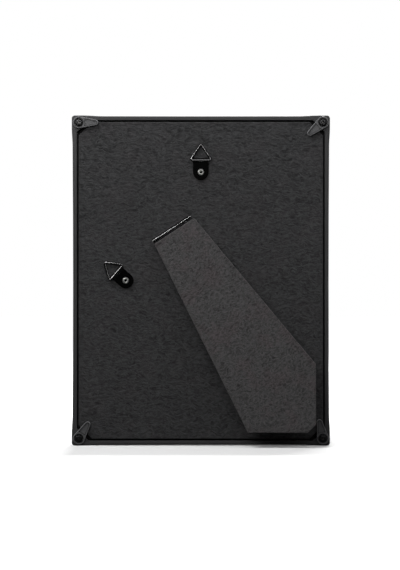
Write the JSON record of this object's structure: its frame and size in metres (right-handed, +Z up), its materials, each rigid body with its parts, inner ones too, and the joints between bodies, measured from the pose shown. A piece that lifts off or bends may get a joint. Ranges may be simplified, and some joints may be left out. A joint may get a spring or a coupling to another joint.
{
  "type": "easel back photo frame",
  "caption": "Moulded photo frame for a letter-size picture, with a leatherette easel strut on a slanted hinge, turn-buttons and swivelling triangle ring hangers.",
  "frame": {"origin": "centre of the bounding box's bottom, under the frame's two bottom feet", "axes": "+Z up the portrait frame, +Y towards the picture side, so the back with the strut faces -Y; +X to the right as seen from behind"},
  "size_m": [0.2266, 0.0376, 0.2895],
  "materials": {
    "moulding_plastic": "satin",
    "button_plastic": "satin",
    "pane_glass": "polished",
    "insert_paper": "matte",
    "hardboard": "matte",
    "leatherette": "matte",
    "lining_paper": "matte",
    "black_steel": "gloss",
    "nickel_steel": "polished",
    "screw_steel": "satin"
  },
  "bodies": {
    "frame": {"moulding": "moulding_plastic", "glass": "pane_glass", "insert_sheet": "insert_paper", "panel_board": "hardboard", "panel_covering": "leatherette", "hinge_leaf_fixed": "black_steel", "hinge_pin": "nickel_steel", "hinge_rivets": "nickel_steel", "corner_screws": "screw_steel", "hanger_rivets": "nickel_steel"},
    "strut": {"strut_board": "hardboard", "strut_covering": "leatherette", "strut_lining": "lining_paper", "hinge_leaf_moving": "black_steel"},
    "turn_button_top_left": {"turn_button_top_left": "button_plastic"},
    "turn_button_top_right": {"turn_button_top_right": "button_plastic"},
    "turn_button_bottom_left": {"turn_button_bottom_left": "button_plastic"},
    "turn_button_bottom_right": {"turn_button_bottom_right": "button_plastic"},
    "hanger_strap_top": {"hanger_strap_top": "black_steel"},
    "hanger_ring_top": {"hanger_ring_top": "black_steel"},
    "hanger_strap_side": {"hanger_strap_side": "black_steel"},
    "hanger_ring_side": {"hanger_ring_side": "black_steel"}
  },
  "joints": [
    {"name": "strut_swing", "type": "hinge", "parent": "frame", "child": "strut", "pos_m": [-0.02565, 0.00588, 0.19], "axis": [-0.8382, 0, -0.5454], "range_deg": [-5.5, 24.5]},
    {"name": "turn_top_left", "type": "hinge", "parent": "frame", "child": "turn_button_top_left", "pos_m": [-0.10685, 0.00713, 0.2831], "axis": [0, -1, 0], "continuous": true},
    {"name": "turn_top_right", "type": "hinge", "parent": "frame", "child": "turn_button_top_right", "pos_m": [0.10685, 0.00713, 0.2831], "axis": [0, -1, 0], "continuous": true},
    {"name": "turn_bottom_left", "type": "hinge", "parent": "frame", "child": "turn_button_bottom_left", "pos_m": [-0.10685, 0.00713, 0.0064], "axis": [0, -1, 0], "continuous": true},
    {"name": "turn_bottom_right", "type": "hinge", "parent": "frame", "child": "turn_button_bottom_right", "pos_m": [0.10685, 0.00713, 0.0064], "axis": [0, -1, 0], "continuous": true},
    {"name": "hanger_swivel_top", "type": "hinge", "parent": "frame", "child": "hanger_strap_top", "pos_m": [0, 0.00743, 0.2396], "axis": [0, -1, 0], "continuous": true},
    {"name": "ring_swing_top", "type": "hinge", "parent": "hanger_strap_top", "child": "hanger_ring_top", "pos_m": [0, 0.00563, 0.25], "axis": [1, 0, 0], "range_deg": [0, 160]},
    {"name": "hanger_swivel_side", "type": "hinge", "parent": "frame", "child": "hanger_strap_side", "pos_m": [-0.06585, 0.00743, 0.14475], "axis": [0, -1, 0], "continuous": true},
    {"name": "ring_swing_side", "type": "hinge", "parent": "hanger_strap_side", "child": "hanger_ring_side", "pos_m": [-0.07376, 0.00563, 0.1515], "axis": [0.6494, 0, 0.7604], "range_deg": [0, 160]}
  ]
}
